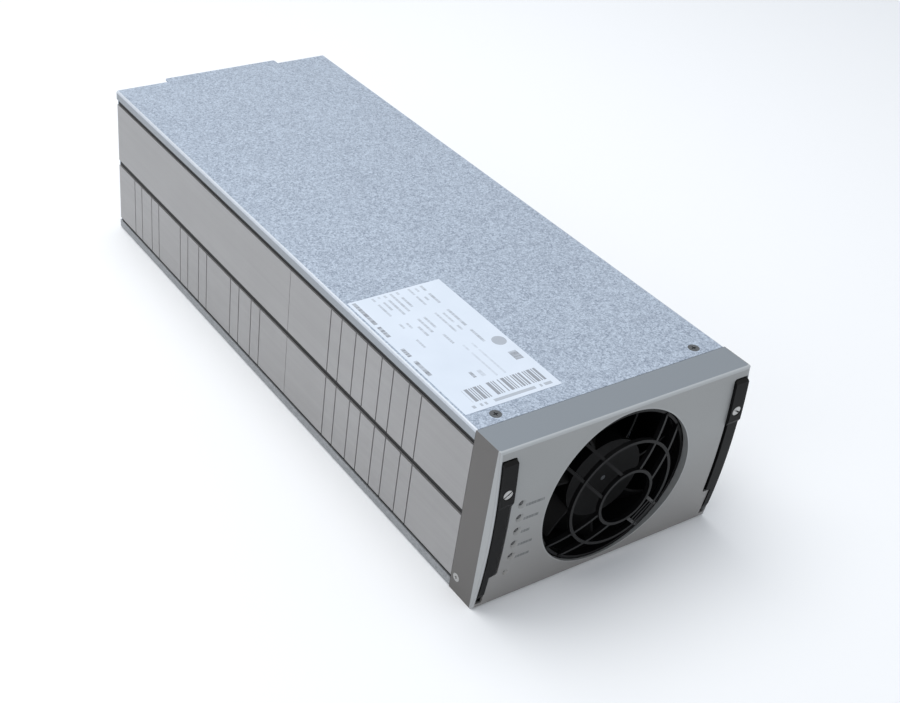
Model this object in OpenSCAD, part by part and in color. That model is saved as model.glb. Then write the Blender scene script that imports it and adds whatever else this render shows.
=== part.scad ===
// Plug-in rectifier module, three rack units high and half a rack wide.
// X runs across the front, Y from the front to the back and Z upwards.
// The origin is at the centre of the underside of the whole module.

/* [Case] */
// Width over the sides
body_w = 209; // [200:1:216]
// Height over the covers
body_h = 132.5; // [131.5:0.5:138]
// Length from the front panel's top edge to the rear edge of the covers
body_l = 553; // [545:1:620]
// Thickness of the sheet of the covers and inner plates
sheet = 1.2; // [1:0.1:1.4]
// Height of the folded side flanges of the top cover
cover_flange_h = 7.5; // [7:0.1:9]
// Height of the folded side flanges of the bottom tray
tray_flange_h = 7.9; // [7:0.1:9]
// Outer radius of the folds of cover and tray
fold_r = 1.8; // [1.5:0.1:2.4]
// Width of the tongue at the rear of the top cover
tongue_w = 110; // [104:1:130]
// Length of that tongue
tongue_l = 7; // [4:0.5:10]

/* [Side heat sinks] */
// Thickness of a heat sink's outer wall
sink_t = 4; // [3.5:0.1:5]
// Gap between a heat sink and the cover's flange
top_gap = 4.4; // [3:0.1:5]
// Gap between the upper and the lower heat sink
mid_gap = 5.2; // [4:0.1:6]
// Gap between a heat sink and the tray's flange
low_gap = 2.9; // [2:0.1:4]
// Depth of the black strips behind the outer face
strip_recess = 1.5; // [1:0.1:2]
// Distance from the front edge to the joint between front and rear heat sinks
sink_joint = 250; // [240:1:262]
// Reach of the cooling fins into the case
fin_l = 14; // [8:0.5:16]
// Thickness of a cooling fin
fin_t = 1.8; // [1:0.1:2.5]
// Distance between the two saw cuts of a pair
cut_gap = 14.2; // [10:0.1:18]
// Width of a saw cut
cut_w = 1.1; // [0.6:0.1:2]
// Depth of a saw cut
cut_d = 1; // [0.5:0.1:2]

/* [Front panel] */
// Wall thickness of the front panel
panel_t = 1.5; // [1.2:0.1:1.8]
// Depth of the panel's folded edges on top, below and at the sides
panel_depth = 25.3; // [24:0.1:30]
// How far the middle of the panel bows forward
panel_bow = 4.3; // [2.5:0.1:5]
// Radius of the panel's upright front edges
edge_r = 1.4; // [0.6:0.1:1.4]
// Length of a handle
handle_l = 112; // [100:0.5:112]
// Width of the wide upper end of a handle
handle_w = 11.2; // [10:0.1:12]
// How far the upper end of a handle stands proud of the panel
handle_proud = 2.2; // [1:0.1:3]
// Diameter of the handles' hinge pins
hinge_pin_d = 5; // [4:0.1:5.5]
// Diameter of an indicator light
light_d = 3.4; // [2.6:0.1:3.8]
// Distance between two indicator lights
light_pitch = 11.2; // [9:0.1:12]

/* [Fan] */
// Height left over above and below the square fan frame
fan_margin = 13; // [12.5:0.1:14]
// Depth of the fan frame
fan_depth = 38; // [32:0.5:40]
// Distance of the fan's screw holes from the frame's edges
fan_hole_edge = 7.25; // [7:0.05:7.5]
// Diameter of the fan's hub
hub_d = 62; // [56:0.5:66]
// Clearance between the blade tips and the frame
tip_gap = 1.2; // [0.8:0.1:2]
// Thickness of a fan blade
blade_t = 1.8; // [1.2:0.1:2.5]
// Width of a bar or ring of the fan guard
guard_bar = 2.2; // [1.6:0.1:3]
// Depth of a bar or ring of the fan guard
guard_depth = 3; // [2:0.1:4]
// Distance between the two bars of a pair
guard_pair = 19; // [12:0.5:22]
// Diameter of the guard's inner ring
guard_inner_d = 42.6; // [38:0.1:50]
// Diameter of the guard's middle ring
guard_middle_d = 82.2; // [76:0.1:90]

/* [Rear] */
// Width of the rear connector's housing
plug_w = 92; // [84:1:96]
// Height of the rear connector's housing
plug_h = 24; // [20:0.5:26]
// Bore of the guide bushes beside the rear connector
guide_bore = 8.2; // [6:0.1:9]
// Length of the guide bushes
guide_l = 14; // [8:0.5:20]
// Width of a cooling slot in the rear panel
vent_w = 4; // [2.5:0.1:5]

/* [Rating label] */
// Width of the label on the top cover
label_w = 76.5; // [50:0.5:80]
// Length of the label
label_l = 139; // [80:1:150]

/* [Hidden] */
$fn = 64;

// Clearances
eps = 0.01;            // overshoot of a cut past the face that it opens
fit = 0.02;            // radial clearance of a pin pressed or screwed home
run = 0.05;            // radial clearance of a turning fit
slip = 0.4;            // side clearance of a handle in its slot
seat = 0.3;            // gap between curved or loosely seated pieces

// Heights of the side, from the tray upwards
sink_h = (body_h - cover_flange_h - top_gap - mid_gap - low_gap - tray_flange_h) / 2;
lower_sink_z = tray_flange_h + low_gap;
upper_sink_z = lower_sink_z + sink_h + mid_gap;
middle_z = upper_sink_z - mid_gap / 2;
strip_wing = 8;        // half height of the middle strip behind the heat sinks
side_x = body_w / 2;
sink_in_x = side_x - sink_t;

// Lengths, counted backwards from the front panel's top edge
inner_y = panel_depth + seat;
rear_y = body_l - sheet;
joint_gap = 0.4;       // between the front and the rear heat sinks
front_cuts = [for (i = [0 : 3]) 88.9 + 32.5 * i];
rear_sink_l = rear_y - sink_joint;
rear_cuts = [for (g = [0 : 2], i = [0, 1]) sink_joint + (0.162 + 0.297 * g) * rear_sink_l + 34 * i];

// Front panel: the front is a large cylinder whose axis runs across
bow_r = (pow(body_h / 2, 2) + pow(panel_bow, 2)) / (2 * panel_bow);
bow_y = bow_r - panel_bow;
function station(share) = board_front + share * (board_rear - board_front);
function front_at(z, off = 0) = bow_y - sqrt(pow(bow_r + off, 2) - pow(z - body_h / 2, 2));

// Fan and guard
fan_side = body_h - fan_margin;
fan_holes = fan_side - 2 * fan_hole_edge;
opening_d = fan_side + 3.1;
fan_z = body_h / 2 + 1.3;
fan_y = 6.6;
fan_rear_y = fan_y + fan_depth;
duct_r = fan_side / 2 - 2;
dome_r = 129;          // radius of the guard's dome
dome_rim_y = 0.6;      // front of the dome where it meets the rim ring
rim_r = opening_d / 2 - 0.9;
dome_y = dome_rim_y + sqrt(pow(dome_r, 2) - pow(rim_r, 2));
guard_front = dome_y - sqrt(pow(dome_r, 2) - pow(guard_inner_d / 2 + guard_bar / 2, 2)) - guard_depth * 0.25;
guard_lug_t = 2.6;
guard_ribs = [28.5, 34.8, 48];
fan_screw_d = 4;
fan_screw_head_h = 1.8;
shaft_r = 2;
bearing_r = 5;
bearing_w = 4;
blades = 7;

// Handles and their hinges
hinge_y = 6.5;
hinge_z = 13;
hinge_boss_r = 6.5;
slot_in_x = side_x - panel_t - handle_w - 2 * slip;
handle_out_x = side_x - panel_t - slip;
handle_top = hinge_z + handle_l;
handle_kink_z = handle_top - 35;
handle_foot_z = 30;
foot_swing_r = 19.6;   // the foot's underside is round about the hinge
handle_depth = 6.5;
shank_w = 4.6;
handle_screw_z = handle_top - 24;
handle_screw_x = handle_out_x - handle_w / 2;
handle_screw_d = 4;
handle_screw_head_d = 7;
handle_screw_head_h = 2.6;
bracket_y = 12;

// Indicator lights on their board
light_x = -slot_in_x + 8.7;
light_top_z = body_h - 45.5;
lights = 5;
light_board_y = 8;
board_t = 1.6;
service_d = 1.8;       // small hole below the lights
service_z = light_top_z - lights * light_pitch - 3;
light_studs = [light_top_z + 9, service_z - 7];

// Cover screws, counted from the front edge
screw_x = 83.6;
screw_y = 33.5;
screw_d = 4;
screw_head_d = 8.2;
screw_l = 8;

// Boards
lower_board_z = 6;
lower_top = lower_board_z + board_t;
upper_top = middle_z + board_t / 2;
board_front = fan_rear_y + sheet + 4;
board_rear = rear_y - 16;
lower_board_x = sink_in_x - 7;
transistor_lift = 9.5;
transistor_size = [5, 15.8, 20.8];
free_x = sink_in_x - fin_l - seat;
under_board = middle_z - board_t / 2 - lower_top;
over_board = body_h - sheet - upper_top;
choke_r = 0.29 * free_x;
choke_hole_r = 0.45 * choke_r;
bulk_d = 0.405 * free_x;
bulk_h = 0.84 * under_board;
output_d = 0.255 * free_x;
output_h = 0.55 * over_board;
core_w = (2 * free_x - 10) / 3;
core_l = 0.72 * core_w;
core_h = 0.68 * over_board;
core_leg = core_w / 6;

// Rear connector and guides
plug_z = body_h - sheet - 4.3 - plug_h / 2;
plug_proud = 6.5;
plug_depth = 22;
guide_x = 68;
contact_pitch = 9;
contacts = 8;

// The frontmost point is the guard's inner ring, the rearmost the cover's tongue
front_y = -(body_l + tongue_l - guard_front) / 2 - guard_front;

module on_frame() { translate([0, front_y, 0]) children(); }
// Turns a drawing in X and Z, or in Y and Z, into a body along the third axis
module along_y(y, length) { translate([0, y + length, 0]) rotate([90, 0, 0]) linear_extrude(length) children(); }
module along_x(x, length) { translate([x, 0, 0]) rotate([90, 0, 90]) linear_extrude(length) children(); }
module block(low, high) { translate(low) cube(high - low); }
module rod_y(x, y, z, r, length) { translate([x, y + length, z]) rotate([90, 0, 0]) cylinder(r = r, h = length); }
module rod_x(x, y, z, r, length) { translate([x, y, z]) rotate([0, 90, 0]) cylinder(r = r, h = length); }
module left_side() { mirror([1, 0, 0]) children(); }

// ---- Covers ----

module screw_cone(z, up) {
    // Countersink for a flat screw head whose face lies at height z
    depth = (screw_head_d - screw_d) / 2;
    translate([0, 0, up ? z - depth : z - eps])
        cylinder(d1 = up ? screw_d : screw_head_d, d2 = up ? screw_head_d : screw_d, h = depth + eps);
}

module folded_sheet(flange) {
    // Section of a sheet with both edges folded up
    difference() {
        fold_outline(side_x, flange, fold_r);
        translate([0, sheet]) fold_outline(side_x - sheet, flange, fold_r - sheet);
    }
}

module fold_outline(half, high, r) {
    translate([-half, r]) square([2 * half, high - r]);
    translate([-half + r, 0]) square([2 * (half - r), high]);
    for (s = [-1, 1]) translate([s * (half - r), r]) circle(r, $fn = 32);
}

module front_lip(z, w) {
    // Joggled front lip that lies against the inner face of the front panel's fold
    step = 3;
    block([-w / 2, panel_depth - 12, z], [w / 2, inner_y + step, z + sheet]);
}

module top_cover() {
    color("lightsteelblue") on_frame() difference() {
        union() {
            along_y(inner_y, body_l - inner_y) translate([0, body_h]) mirror([0, 1]) folded_sheet(cover_flange_h);
            front_lip(body_h - panel_t - sheet, body_w - 16);
            block([-side_x + 8, inner_y, body_h - panel_t - sheet], [side_x - 8, inner_y + 3, body_h]);
            tongue();
        }
        for (x = [-screw_x, screw_x]) translate([x, screw_y, 0]) {
            screw_cone(body_h, true);
            translate([0, 0, body_h - 5]) cylinder(d = screw_d + 2 * fit, h = 6);
        }
    }
}

module tongue() {
    corner = 2;
    translate([0, body_l - eps, body_h - sheet]) linear_extrude(sheet) {
        translate([-tongue_w / 2, 0]) square([tongue_w, tongue_l - corner]);
        translate([-tongue_w / 2 + corner, 0]) square([tongue_w - 2 * corner, tongue_l]);
        for (s = [-1, 1]) translate([s * (tongue_w / 2 - corner), tongue_l - corner]) circle(corner);
    }
}

module bottom_tray() {
    ear_l = 8;
    ear_h = 20;
    color("silver") on_frame() difference() {
        union() {
            along_y(inner_y, body_l - inner_y) folded_sheet(tray_flange_h);
            front_lip(panel_t, body_w - 16);
            block([-side_x + 8, inner_y, 0], [side_x - 8, inner_y + 3, panel_t + sheet]);
            for (s = [-1, 1]) {
                block([s > 0 ? side_x - panel_t - sheet : -side_x + panel_t, inner_y - ear_l, panel_t],
                      [s > 0 ? side_x - panel_t : -side_x + panel_t + sheet, inner_y - seat, ear_h]);
                block([s > 0 ? side_x - 12 : -side_x + panel_t, inner_y - ear_l, panel_t],
                      [s > 0 ? side_x - panel_t : -side_x + 12, inner_y - seat, panel_t + sheet]);
            }
        }
        for (s = [-1, 1]) panel_screw_at(s, fit);
        for (x = [-screw_x, screw_x], y = [screw_y, rear_y - 7]) translate([x, y, 0]) {
            screw_cone(0, false);
            translate([0, 0, -1]) cylinder(d = screw_d + 2 * fit, h = 6);
        }
    }
}

module rating_label() {
    label_t = 0.2;
    label_side = 3;
    label_front = 40.5;
    color("whitesmoke") on_frame()
        block([-side_x + label_side, label_front, body_h],
              [-side_x + label_side + label_w, label_front + label_l, body_h + label_t]);
}

module flat_screws(places, z, up) {
    depth = (screw_head_d - screw_d) / 2;
    for (p = places) translate([p[0], p[1], z]) mirror([0, 0, up ? 1 : 0]) difference() {
        union() {
            cylinder(d1 = screw_head_d - 0.1, d2 = screw_d - 0.1, h = depth);
            cylinder(d = screw_d - 0.04, h = screw_l);
        }
        for (a = [0, 90]) rotate(a) translate([-1.8, -0.4, -eps]) cube([3.6, 0.8, 1.2]);
    }
}

module cover_screws() {
    color("dimgray") on_frame()
        flat_screws([for (x = [-screw_x, screw_x]) [x, screw_y]], body_h, true);
}

module tray_screws() {
    color("dimgray") on_frame()
        flat_screws([for (x = [-screw_x, screw_x], y = [screw_y, rear_y - 7]) [x, y]], 0, false);
}

// ---- Rear panel, connector and guides ----

module vent_slot(w, h) {
    translate([-w / 2, -h / 2 + w / 2]) square([w, h - w]);
    for (s = [-1, 1]) translate([0, s * (h / 2 - w / 2)]) circle(w / 2, $fn = 24);
}

module rear_panel() {
    pitch = vent_w + 4.2;
    vent_h = 24;
    rows = 3;
    row_pitch = 27.4;
    field = body_w / 2 - 14;
    across = floor(2 * field / pitch);
    foot = 15;
    color("lightsteelblue") on_frame() difference() {
        union() {
            along_y(rear_y, sheet) difference() {
                translate([-side_x + sheet, sheet]) square([body_w - 2 * sheet, body_h - 2 * sheet]);
                for (x = [-1, 1], z = [0, 1]) translate([x * side_x, z * body_h])
                    square(2 * fold_r, center = true);
            }
            for (z = [sheet, body_h - 2 * sheet])
                block([-sink_in_x + 6, rear_y - foot, z], [sink_in_x - 6, rear_y + eps, z + sheet]);
            for (x = [-screw_x, screw_x])
                translate([x, rear_y - 7, 2 * sheet - eps]) cylinder(d = screw_d + 4, h = 3);
        }
        along_y(rear_y - 1, sheet + 2) {
            for (i = [0 : across - 1], r = [0 : rows - 1])
                translate([(i - (across - 1) / 2) * pitch, 20 + r * row_pitch]) vent_slot(vent_w, vent_h);
            translate([-plug_w / 2 - seat, plug_z - plug_h / 2 - seat])
                square([plug_w + 2 * seat, plug_h + 2 * seat]);
            for (s = [-1, 1]) translate([s * guide_x, plug_z]) circle(guide_bore / 2 + 3.4 + seat);
        }
        for (x = [-screw_x, screw_x]) translate([x, rear_y - 7, 0]) {
            screw_cone(0, false);
            cylinder(d = screw_d, h = 20);
        }
    }
}

module contact_field() { for (i = [0 : contacts - 1]) translate([(i - contacts / 2 - 1) * contact_pitch, 0]) children(); }

module rear_connector() {
    wall = 2.2;
    flange = 3;
    pins_x = plug_w / 2 - 11;
    color("darkslategray") on_frame() difference() {
        union() {
            block([-plug_w / 2, rear_y - plug_depth, plug_z - plug_h / 2],
                  [plug_w / 2, body_l + plug_proud, plug_z + plug_h / 2]);
            block([-plug_w / 2 - 3, rear_y - flange, plug_z - plug_h / 2 - 3],
                  [plug_w / 2 + 3, rear_y, plug_z + plug_h / 2 + 3]);
        }
        along_y(rear_y - plug_depth - 1, plug_depth + plug_proud + 4) contact_field()
            translate([-1.3, plug_z - plug_h / 2 + wall]) square([2.6, plug_h - 2 * wall]);
        for (i = [-1 : 1], j = [-2 : 2])
            translate([pins_x + i * 3.6, body_l + plug_proud - 8, plug_z + j * 3.6])
                translate([-0.9, 0, -0.9]) cube([1.8, 9, 1.8]);
    }
}

module connector_contacts() {
    blade = 1;
    blade_h = 14;
    pins_x = plug_w / 2 - 11;
    color("goldenrod") on_frame() {
        along_y(rear_y - plug_depth - 12, plug_depth + 12 + plug_proud - 3) contact_field()
            translate([-blade / 2, plug_z - blade_h / 2]) square([blade, blade_h]);
        for (i = [-1 : 1], j = [-2 : 2])
            translate([pins_x + i * 3.6 - 0.3, body_l + plug_proud - 8, plug_z + j * 3.6 - 0.3])
                cube([0.6, 6, 0.6]);
    }
}

module output_bars() {
    bar_t = 3;
    bar_y = rear_y - plug_depth - 12;
    blade_end = contact_pitch * 3.5 + 3;
    color("chocolate") on_frame() for (s = [0, 1]) {
        low_x = (s ? -1 : -contacts / 2 - 1.3) * contact_pitch + (s ? 1.5 : 0);
        high_x = (s ? contacts / 2 - 1.7 : -1.6) * contact_pitch + (s ? 0 : 1.5);
        block([low_x, bar_y - bar_t, plug_z - 8], [high_x, bar_y, plug_z + 8]);
        block([low_x, bar_y - bar_t, upper_top], [low_x + 14, bar_y, plug_z - 7]);
    }
}

module guide_bush() {
    collar = 1.5;
    color("gainsboro") on_frame() difference() {
        union() {
            rod_y(guide_x, rear_y - guide_l + sheet + 2, plug_z, guide_bore / 2 + 3.4, guide_l);
            rod_y(guide_x, rear_y - collar, plug_z, guide_bore / 2 + 5.6, collar);
        }
        rod_y(guide_x, rear_y - guide_l, plug_z, guide_bore / 2, guide_l + 10);
    }
}

// ---- Side heat sinks and insulating strips ----

module sink_section() {
    // Section of the right-hand profile, from its own lower edge upwards
    first_fin = transistor_lift + transistor_size[2] + 0.7;
    fin_pitch = (sink_h - first_fin - fin_t - strip_wing + mid_gap / 2 - 2.9) / 2;
    translate([sink_in_x, 0]) square([sink_t, sink_h]);
    for (i = [0 : 2]) translate([sink_in_x - fin_l, first_fin + i * fin_pitch]) square([fin_l + eps, fin_t]);
}

module sink(z, from, to, cuts) {
    color("darkgray") on_frame() difference() {
        along_y(from, to - from) translate([0, z]) sink_section();
        for (y = cuts, s = [-1, 1])
            block([side_x - cut_d, y + s * cut_gap / 2 - cut_w / 2, z - 1],
                  [side_x + 1, y + s * cut_gap / 2 + cut_w / 2, z + sink_h + 1]);
    }
}

module front_upper_sink() { sink(upper_sink_z, inner_y, sink_joint - joint_gap / 2, front_cuts); }
module front_lower_sink() { sink(lower_sink_z, inner_y, sink_joint - joint_gap / 2, front_cuts); }
module rear_upper_sink() { sink(upper_sink_z, sink_joint + joint_gap / 2, rear_y, []); }
module rear_lower_sink() { sink(lower_sink_z, sink_joint + joint_gap / 2, rear_y, rear_cuts); }

module strip(z) { color("black") on_frame() along_y(inner_y, rear_y - inner_y) translate([0, z]) children(); }

module edge_strip_section(gap, leg) {
    // Z-shaped section: a web in the seam, one leg behind the heat sink and one inside the flange
    web_t = 2;
    hook = 7.5;
    translate([sink_in_x - web_t, 0]) square([sink_t + web_t - strip_recess, gap]);
    translate([sink_in_x - web_t, -hook]) square([web_t, hook + eps]);
    translate([side_x - sheet - web_t, gap - eps]) square([web_t, leg - fold_r - seat]);
}

module top_strip() { strip(upper_sink_z + sink_h) edge_strip_section(top_gap, cover_flange_h); }
module bottom_strip() { strip(lower_sink_z) mirror([0, 1]) edge_strip_section(low_gap, tray_flange_h); }
module middle_strip() {
    // T-shaped section with two lips that hold the edge of the upper board
    web_t = 3;
    reach = 2.5;
    lip = 1.6;
    strip(middle_z) difference() {
        union() {
            translate([sink_in_x - web_t, -mid_gap / 2]) square([sink_t + web_t - strip_recess, mid_gap]);
            translate([sink_in_x - web_t, -strip_wing]) square([web_t, 2 * strip_wing]);
            translate([sink_in_x - web_t - reach, -board_t / 2 - lip]) square([reach + eps, board_t + 2 * lip]);
        }
        translate([sink_in_x - web_t - reach - eps, -board_t / 2 - run]) square([reach, board_t + 2 * run]);
    }
}

// ---- Front panel ----

module bowed_slab(back, half_w, r, corner) {
    // Part of a large ring: its outer face is the bowed front, its upright edges are rounded
    span = asin((body_h / 2 + 4) / bow_r);
    translate([0, bow_y, body_h / 2]) rotate([0, 90, 0]) rotate([0, 0, 270 - span])
        rotate_extrude(angle = 2 * span, $fn = 720) {
            translate([r - back, -half_w]) square([back - corner, 2 * half_w]);
            translate([r - back, -half_w + corner]) square([back, 2 * (half_w - corner)]);
            if (corner > 0) for (s = [-1, 1]) translate([r - corner, s * (half_w - corner)]) circle(corner, $fn = 32);
        }
}

module panel_shell() {
    deep = panel_depth + panel_bow + 20;
    top_r = 1.5;
    bottom_r = 3;
    difference() {
        intersection() {
            bowed_slab(deep, side_x, bow_r, edge_r);
            along_x(-side_x - 1, body_w + 2) panel_side(top_r, bottom_r);
        }
        intersection() {
            bowed_slab(deep + 10, side_x - panel_t, bow_r - panel_t, 0);
            block([-side_x, -20, panel_t], [side_x, panel_depth + 1, body_h - panel_t]);
        }
    }
}

module panel_side(top_r, bottom_r) {
    // Outline from the side: only its small corner rounds touch the bowed front
    top_y = front_at(body_h - top_r) + 0.05;
    bottom_y = front_at(bottom_r) + 0.05;
    translate([-20, bottom_r]) square([panel_depth + 20, body_h - top_r - bottom_r]);
    translate([top_y + top_r, 0]) square([panel_depth - top_y - top_r, body_h]);
    translate([bottom_y + bottom_r, 0]) square([panel_depth - bottom_y - bottom_r, body_h / 2]);
    translate([top_y + top_r, body_h - top_r]) circle(top_r, $fn = 32);
    translate([bottom_y + bottom_r, bottom_r]) circle(bottom_r, $fn = 32);
}

module slot_outline() {
    // Wide behind the grip, narrow behind the shank
    corner = 2;
    low = handle_foot_z - 0.6;
    high = handle_top + 1;
    out_x = side_x - panel_t;
    shank_x = handle_out_x - shank_w - slip;
    translate([slot_in_x, low + corner]) square([out_x - slot_in_x, high - low - 2 * corner]);
    translate([slot_in_x + corner, low]) square([out_x - slot_in_x - corner, high - low]);
    for (z = [low + corner, high - corner]) translate([slot_in_x + corner, z]) circle(corner, $fn = 32);
    translate([shank_x, 5]) square([out_x - shank_x, low]);
}

module panel_screw_at(s, gap) {
    head_d = 6.4;
    thread_d = 3;
    translate([s * side_x, inner_y - 5.6, 12.8]) rotate([0, -s * 90, 0]) {
        translate([0, 0, -eps]) cylinder(d1 = head_d + 2 * gap, d2 = thread_d + 2 * gap, h = 1.4);
        cylinder(d = thread_d + 2 * gap, h = 6);
    }
}

module light_hole(x, z, d) {
    // Hole with a countersink through the panel's full thickness
    deep = panel_t + 1;
    rod_y(x, -20, z, d / 2, 24);
    translate([x, front_at(z) - 1, z]) rotate([-90, 0, 0]) cylinder(d1 = d + 2 * deep, d2 = d, h = deep);
}

module front_panel() {
    collar_t = 1.5;
    collar_y = dome_rim_y + 0.2;
    color("silver") on_frame() difference() {
        union() {
            panel_shell();
            intersection() {
                rod_y(0, -panel_bow - 2, fan_z, opening_d / 2 + collar_t, panel_bow + 2 + collar_y);
                bowed_slab(panel_bow + 14, side_x - 2, bow_r - 0.2, 0);
            }
            for (z = light_studs) rod_y(light_x + 8, front_at(z) + 0.6, z, 2.5, light_board_y - front_at(z) - 0.6);
        }
        rod_y(0, -20, fan_z, opening_d / 2, 40);
        for (s = [0, 1]) mirror([s, 0, 0]) along_y(-20, 26) slot_outline();
        for (i = [0 : lights - 1]) light_hole(light_x, light_top_z - i * light_pitch, light_d + 0.3);
        light_hole(light_x - 1.5, service_z, service_d);
        for (s = [-1, 1]) panel_screw_at(s, 0.1);
        for (z = light_studs) rod_y(light_x + 8, light_board_y - 4, z, 0.9, 5);
    }
}

module panel_screws() {
    color("gainsboro") on_frame() for (s = [-1, 1]) difference() {
        intersection() {
            panel_screw_at(s, -0.02);
            rod_x(-side_x, inner_y - 5.6, 12.8, 6, body_w);
        }
        translate([s * side_x, inner_y - 5.6, 12.8]) rotate([0, -s * 90, 0])
            for (a = [0, 90]) rotate(a) translate([-1.4, -0.3, -eps]) cube([2.8, 0.6, 0.9]);
    }
}

// ---- Indicator lights ----

module indicator_board() {
    margin = 4;
    color("darkgreen") on_frame() difference() {
        block([light_x - 6, light_board_y, light_studs[1] - margin],
              [light_x + 11.5, light_board_y + board_t, light_studs[0] + margin]);
        for (z = light_studs) rod_y(light_x + 8, light_board_y - 1, z, 0.95, 4);
    }
}

module indicator_lights() {
    // Round-nosed lenses just behind the countersinks
    nose = light_d * 0.7;
    color("aliceblue") on_frame() {
        for (i = [0 : lights - 1]) {
            z = light_top_z - i * light_pitch;
            tip = front_at(z) + panel_t - 0.6;
            intersection() {
                rod_y(light_x, tip, z, light_d / 2, nose);
                translate([light_x, tip + nose, z]) sphere(nose);
            }
            rod_y(light_x, tip + nose - eps, z, light_d / 2, light_board_y - tip - nose + eps);
        }
        rod_y(light_x - 1.5, front_at(service_z) + panel_t, service_z, service_d / 2 - 0.15,
              light_board_y - front_at(service_z) - panel_t);
    }
}

module board_nuts() {
    color("goldenrod") on_frame() for (z = light_studs) difference() {
        rod_y(light_x + 8, light_board_y + board_t, z, 2.2, 1.6);
        rod_y(light_x + 8, light_board_y + board_t - 1, z, 0.95, 4);
    }
}

// ---- Fan guard ----

function dome_at(r) = dome_y - sqrt(pow(dome_r, 2) - pow(r, 2));

module guard_ring(r) {
    // A flat ring that stands a little prouder than the bars beside it
    y = dome_at(r + guard_bar / 2) - guard_depth * 0.25;
    difference() {
        rod_y(0, y, fan_z, r + guard_bar / 2, guard_depth);
        rod_y(0, y - 1, fan_z, r - guard_bar / 2, guard_depth + 2);
    }
}

module guard_arms() {
    // Two parallel bars on each diagonal, from the inner ring to the rim
    start = sqrt(pow(guard_inner_d / 2, 2) - pow(guard_pair / 2, 2));
    arc_r = sqrt(pow(dome_r, 2) - pow(guard_pair / 2, 2));
    for (a = [45, 135, 225, 315], s = [-1, 1])
        translate([0, 0, fan_z]) rotate([0, a, 0]) translate([0, 0, s * guard_pair / 2 - guard_bar / 2])
            linear_extrude(guard_bar) intersection() {
                translate([0, dome_y]) difference() {
                    circle(arc_r, $fn = 360);
                    circle(arc_r - guard_depth, $fn = 360);
                }
                translate([start, -40]) square([rim_r - 1 - start, 60]);
            }
    // Short ribs that tie the two bars of the lower right arm
    for (r = guard_ribs) translate([0, 0, fan_z]) rotate([0, 45, 0])
        translate([r, dome_at(r) + 0.5, -guard_pair / 2]) cube([1.4, guard_depth - 1, guard_pair]);
}

module fan_guard() {
    rim_t = 2;
    lug = 7;
    hole = fan_holes / 2;
    color("black") on_frame() difference() {
        union() {
            guard_ring(guard_inner_d / 2);
            guard_ring(guard_middle_d / 2);
            guard_arms();
            difference() {
                rod_y(0, dome_rim_y, fan_z, rim_r, fan_y - 0.6 - dome_rim_y);
                rod_y(0, dome_rim_y - 1, fan_z, rim_r - rim_t, fan_y - dome_rim_y + 2);
            }
            along_y(fan_y - guard_lug_t, guard_lug_t) translate([0, fan_z]) for (a = [45, 135, 225, 315])
                rotate(a) {
                    translate([rim_r - 1, -lug]) square([hole * sqrt(2) - rim_r + 1, 2 * lug]);
                    translate([hole * sqrt(2), 0]) circle(lug);
                }
        }
        for (x = [-hole, hole], z = [-hole, hole]) rod_y(x, 0, fan_z + z, fan_screw_d / 2 + 0.2, 10);
    }
}

// ---- Fan ----

module fan_corners(r, y, length) {
    for (x = [-1, 1], z = [-1, 1]) rod_y(x * fan_holes / 2, y, fan_z + z * fan_holes / 2, r, length);
}

module fan_outline() {
    corner = 5;
    half = fan_side / 2;
    translate([0, fan_z]) {
        square([fan_side, fan_side - 2 * corner], center = true);
        square([fan_side - 2 * corner, fan_side], center = true);
        for (x = [-1, 1], z = [-1, 1]) translate([x * (half - corner), z * (half - corner)]) circle(corner);
    }
}

module fan_frame() {
    flange = 5;
    base_t = 3;
    base_y = fan_rear_y - base_t - 1;
    tube_l = base_y - fan_y - 9;
    color("black") on_frame() difference() {
        union() {
            difference() {
                union() {
                    along_y(fan_y, flange) fan_outline();
                    along_y(fan_rear_y - flange, flange) fan_outline();
                    rod_y(0, fan_y + 2, fan_z, fan_side / 2 - 0.4, fan_depth - 4);
                }
                rod_y(0, fan_y - 1, fan_z, duct_r, fan_depth + 2);
            }
            along_y(base_y, base_t) translate([0, fan_z]) fan_struts();
            rod_y(0, base_y - tube_l, fan_z, bearing_r + 2, tube_l + 1);
        }
        rod_y(0, base_y - tube_l - 1, fan_z, bearing_r + fit, tube_l + 1);
        fan_corners(fan_screw_d / 2 + 0.2, fan_y - 1, fan_depth + 2);
    }
}

module fan_struts() {
    struts = 4;
    circle(hub_d / 2 - 1);
    for (i = [0 : struts - 1]) rotate(i * 360 / struts + 20)
        translate([hub_d / 2 - 4, -3]) square([duct_r - hub_d / 2 + 5, 6]);
}

module blade() {
    // A curved plate, twisted along the fan's axis
    root = hub_d / 2 - 0.6;
    tip = duct_r - tip_gap;
    blade_l = fan_depth - 12;
    bend = duct_r * 1.04;
    linear_extrude(blade_l, twist = -38, slices = 6)
        intersection() {
            translate([0, bend + 6]) difference() {
                circle(bend, $fn = 128);
                circle(bend - blade_t, $fn = 128);
            }
            difference() {
                translate([0, -tip / 2]) square([tip, tip]);
                circle(root, $fn = 64);
            }
            circle(tip, $fn = 128);
        }
}

module fan_rotor() {
    wall = 2;
    face_y = fan_y + 3;
    color("black") on_frame() {
        difference() {
            rod_y(0, face_y, fan_z, hub_d / 2, fan_depth - 9);
            rod_y(0, face_y + wall, fan_z, hub_d / 2 - wall, fan_depth);
            rod_y(0, face_y - 1, fan_z, shaft_r + fit, 4);
        }
        difference() {
            rod_y(0, face_y + wall - eps, fan_z, 5, 2.5);
            rod_y(0, face_y, fan_z, shaft_r + fit, 8);
        }
        translate([0, face_y + fan_depth - 11, fan_z]) rotate([90, 0, 0])
            for (i = [0 : blades - 1]) rotate(i * 360 / blades) blade();
    }
}

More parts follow.
